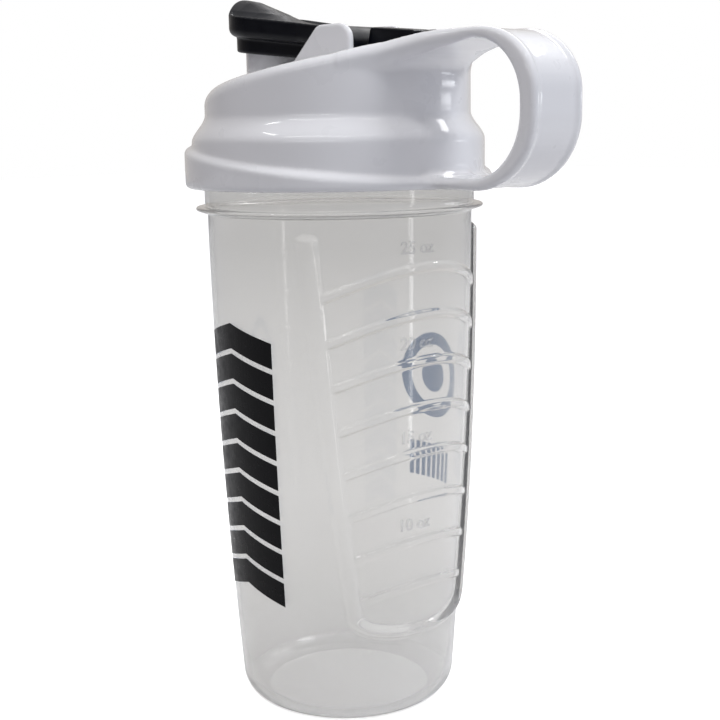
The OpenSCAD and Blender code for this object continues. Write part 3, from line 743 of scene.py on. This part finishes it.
def ink(name, colour, painted_glow=(0, 0, 0)):
    """Printed ink. Its emission, painted_glow, is painted light standing in for the light that the wall
    spreads on to its inner face.
    """
    m, tree, shader = material(name, colour, 0.3, IOR=1.45, Specular_IOR_Level=0.15)
    shader.inputs["Emission Color"].default_value = (*painted_glow, 1)
    shader.inputs["Emission Strength"].default_value = 1.0
    uneven_roughness(tree, shader, noise(tree, 300.0, 3.0), 0.22, 0.42)
    bump(tree, shader, noise(tree, 900.0), 0.00002, 0.4)
    return m


def raised_letters():
    """The cup's own plastic, which shows only faintly against the wall."""
    m, tree, shader = material("cup_letters", (0.95, 0.95, 0.95), 0.15, IOR=1.45, Alpha=0.24)
    uneven_roughness(tree, shader, noise(tree, 500.0), 0.1, 0.25)
    return m


def silicone():
    """Pale soft silicone, for the gasket and the seal."""
    soft = {"Subsurface_Weight": 0.3, "Subsurface_Scale": 0.003}
    m, tree, shader = material("silicone", (0.72, 0.76, 0.79), 0.45, IOR=1.41, **soft)
    uneven_roughness(tree, shader, noise(tree, 200.0), 0.38, 0.55)
    bump(tree, shader, noise(tree, 700.0), 0.00003, 0.5)
    return m


def steel():
    """Drawn steel, with its marks along the pin."""
    m, tree, shader = material("steel", (0.6, 0.61, 0.63), 0.25, Metallic=1.0)
    along_y = (1, 0.05, 1)
    uneven_roughness(tree, shader, noise(tree, 900.0, stretch=along_y), 0.18, 0.36)
    bump(tree, shader, noise(tree, 1600.0, stretch=along_y), 0.00002, 0.5)
    return m


def paint(o, *materials):
    for m in materials:
        o.data.materials.append(m)


# ---------------------------------------------------------------- build
cup = make_cup()
lid_shell = make_lid()
cap = make_cap()
cover = make_cover()
grads = make_graduations()
stripe = chevrons(
    "cup_stripe_print", mid=math.radians(-101), half=math.radians(25), z_low=41.0, z_high=131.0,
    count=9, gap=1.7, rise=5.0,
)
mark = badge("cup_badge_print", mid=math.radians(82.8), z_mid=106.4, radius=15.5)

lid_white = white_plastic("lid_white", (0.80, 0.80, 0.825), (0.86, 0.86, 0.88), 0.28)
frosted_cup = frosted()
black = black_plastic("cap_black", 0.34)
seal = silicone()
paint(cup, frosted_cup)
paint(grads, raised_letters())
paint(lid_shell, lid_white)
paint(cap, black)
paint(cover, black)
black_ink = ink("print_black", (0.003, 0.003, 0.004))
# The ink seen through the wall: its blue tint and its emission are painted haze, standing in for the light
# that the frosted wall spreads over it.
ink_painted_haze = ink("print_inside_painted_haze", (0.008, 0.055, 0.16), painted_glow=(0.015, 0.06, 0.14))
paint(stripe, black_ink, ink_painted_haze)
paint(mark, black_ink, ink_painted_haze)
grid_white = white_plastic("grid_white", (0.78, 0.78, 0.79), (0.84, 0.84, 0.85))
kept_nodes = {"lid_gasket": seal, "spout_seal": seal, "mixing_grid": grid_white, "hinge_pin": steel()}
for name, m in kept_nodes.items():
    for s in nodes[name].material_slots:
        s.material = m

for piece, body, slot_name, replaced in (
    (cup, "cup", "frosted_cup", "cup"),
    (grads, "cup", "frosted_cup", None),
    (stripe, "cup", "print", None),
    (mark, "cup", "print", None),
    (lid_shell, "lid", "white_lid", "lid"),
    (cap, "flip_cap", "black_cap", "flip_cap"),
    (cover, "lid", "black_cap", "hinge_cover"),
):
    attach(piece, body)
    if replaced:
        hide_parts(replaced)


# ---------------------------------------------------------------- floor, light and camera
def floor_white():
    """White to the camera; through the cup, a painted pool of light whose glow is brightest near the cup and
    fades farther off; and only a weak light on the object.
    """
    seen, through_near, through_far, near, far = 0.75, 0.74, 0.52, 0.1, 1.6
    m, tree, shader = material("floor_white", (0.9, 0.9, 0.9), 0.6)
    shader.inputs["Emission Color"].default_value = (1, 1, 1, 1)
    path = node(tree, "ShaderNodeLightPath")
    past_cup = ramp(tree, path.outputs["Transmission Depth"], 0.0, 1.0)
    pale = tint(tree, path.outputs["Is Diffuse Ray"], (0.9, 0.9, 0.9), (0.5, 0.5, 0.52))
    tree.links.new(tint(tree, past_cup, pale, (0.0, 0.0, 0.0)), shader.inputs["Base Color"])
    spot = node(tree, "ShaderNodeTexCoord")
    reach = node(tree, "ShaderNodeVectorMath", operation="LENGTH")
    tree.links.new(spot.outputs["Object"], reach.inputs[0])
    direct = ramp(tree, path.outputs["Is Camera Ray"], 0.0, seen)
    # Through the cup the floor glows with painted light, brighter near the cup than far off
    painted_pool_of_light = ramp(tree, reach.outputs["Value"], through_near, through_far, near, far)
    strength = maths(tree, "ADD", direct, maths(tree, "MULTIPLY", painted_pool_of_light, past_cup))
    tree.links.new(strength, shader.inputs["Emission Strength"])
    return m


def facing(tree, direction, low, high):
    """How far a ray points along a direction: 0 at low and 1 at high."""
    ray = node(tree, "ShaderNodeTexCoord")
    dot = node(tree, "ShaderNodeVectorMath", operation="DOT_PRODUCT")
    dot.inputs[1].default_value = direction
    tree.links.new(ray.outputs["Generated"], dot.inputs[0])
    return ramp(tree, dot.outputs["Value"], 0.0, 1.0, low, high)


def room_light(world):
    """Warm and dim on the left, cool and lighter on the right, lightest behind the object and above it.

    Through the cup it is nearly an even warm grey, and straight to the camera it is white.
    """
    tree = world.node_tree
    sky = tint(tree, facing(tree, (0.71, 0.71, 0), -0.7, 0.8), (0.13, 0.115, 0.11), (0.42, 0.445, 0.50))
    sky = tint(tree, facing(tree, (-0.71, 0.71, 0), 0.45, 0.9), sky, (0.55, 0.522, 0.50))
    sky = tint(tree, facing(tree, (0, 0, 1), 0.3, 0.85), sky, (0.62, 0.62, 0.64))
    path = node(tree, "ShaderNodeLightPath")
    past_cup = ramp(tree, path.outputs["Transmission Depth"], 0.0, 0.8)
    sky = tint(tree, past_cup, sky, (0.66, 0.645, 0.63))
    sky = tint(tree, path.outputs["Is Camera Ray"], sky, (1, 1, 1))
    background = tree.nodes["Background"]
    tree.links.new(sky, background.inputs["Color"])
    background.inputs["Strength"].default_value = 1.0


def area(name, place, target, size, power, colour=(1, 1, 1)):
    """A lamp of size (width, height) in metres that faces a target."""
    lamp = bpy.data.lights.new(name, "AREA")
    lamp.shape = "RECTANGLE"
    lamp.size, lamp.size_y = size
    lamp.energy = power
    lamp.color = colour
    o = bpy.data.objects.new(name, lamp)
    bpy.context.scene.collection.objects.link(o)
    o.location = place
    o.rotation_mode = "QUATERNION"
    o.rotation_quaternion = (Vector(target) - Vector(place)).to_track_quat("-Z", "Y")
    return o


def make_camera():
    """The camera, by its place and its turns from looking level along Y, 45 degrees round the object."""
    pitch, yaw, roll = 0.1765, 0.013, -0.017
    cam_data = bpy.data.cameras.new("camera")
    cam_data.lens, cam_data.sensor_width = 67.795, 36.0
    cam_data.clip_start, cam_data.clip_end = 0.02, 20
    camera = bpy.data.objects.new("camera", cam_data)
    bpy.context.scene.collection.objects.link(camera)
    turn = Matrix.Rotation(math.radians(45), 3, "Z")
    level = math.cos(pitch)
    forward = turn @ Vector((math.sin(yaw) * level, math.cos(yaw) * level, -math.sin(pitch)))
    right = turn @ Vector((math.cos(yaw), -math.sin(yaw), 0))
    up = right.cross(forward)
    side = right * math.cos(roll) + up * math.sin(roll)
    over = -right * math.sin(roll) + up * math.cos(roll)
    axes = Matrix((side, over, -forward)).transposed().to_4x4()
    camera.matrix_world = Matrix.Translation((0.323898, -0.323898, 0.198684)) @ axes
    return camera


FLOOR_HALF = 4000.0
floor_corners = [(FLOOR_HALF * i, FLOOR_HALF * j, 0.0) for i, j in ((-1, -1), (1, -1), (1, 1), (-1, 1))]
floor = mesh_object("floor", floor_corners, [[0, 1, 2, 3]], smooth=False)
paint(floor, floor_white())

studio = bpy.data.worlds.new("studio")
bpy.context.scene.world = studio
studio.use_nodes = True
room_light(studio)

# As the camera sees it, right is along (1, 1, 0) and nearer is along (1, -1, 0)
ceiling = area("ceiling", (-0.02, -0.42, 1.05), (0, 0, 0.15), (0.16, 0.16), 3.0, (1.0, 0.99, 0.98))
right_lamp = area("right", (0.70, 0.30, 0.95), (0, 0, 0.18), (0.3, 0.4), 4.4, (0.94, 0.96, 1.0))
back_lamp = area("back", (-0.05, 0.95, 0.85), (0, 0, 0.18), (1.2, 0.5), 3.0)
# The glossy lid would mirror these as blots
for lamp in (ceiling, right_lamp, back_lamp):
    lamp.visible_glossy = False
# Narrow lights that only show as streaks in the glossy pieces, aimed at the lid
TUBE_ACROSS, LID_MIDDLE = 0.62, (0, 0, 0.196)
for name, turn_deg, height, size, power in (
    ("tube_front", -64, 1.0, (0.8, 0.03), 0.6),
    ("tube_low", -64, 0.42, (0.5, 0.025), 0.25),
    ("tube_left", -121, 1.0, (0.22, 0.03), 0.25),
    ("tube_right", -10, 1.0, (0.22, 0.03), 0.2),
    ("tube_back", 100, 0.75, (0.9, 0.08), 1.2),
):
    a = math.radians(turn_deg)
    tube_place = (TUBE_ACROSS * math.cos(a), TUBE_ACROSS * math.sin(a), height)
    tube = area(name, tube_place, LID_MIDDLE, size, power)
    tube.visible_diffuse = tube.visible_transmission = False
# Panes of a window on the right, and an upright light that draws a line down the cup
panes = (
    (62, 0.232, (0.34, 0.005), 0.03),
    (58, 0.216, (0.24, 0.012), 0.03),
    (64, 0.197, (0.3, 0.005), 0.02),
)
for i, (turn_deg, height, size, power) in enumerate(panes):
    a = math.radians(turn_deg)
    area(f"pane_{i}", (math.cos(a), math.sin(a), height), (0, 0, 0.2), size, power, (0.95, 0.97, 1.0))
area("strip", (0.29, 0.073, 0.09), (0.04, 0.01, 0.13), (0.012, 0.17), 0.018)

bpy.context.scene.camera = make_camera()
bpy.context.scene.view_settings.view_transform = "Standard"
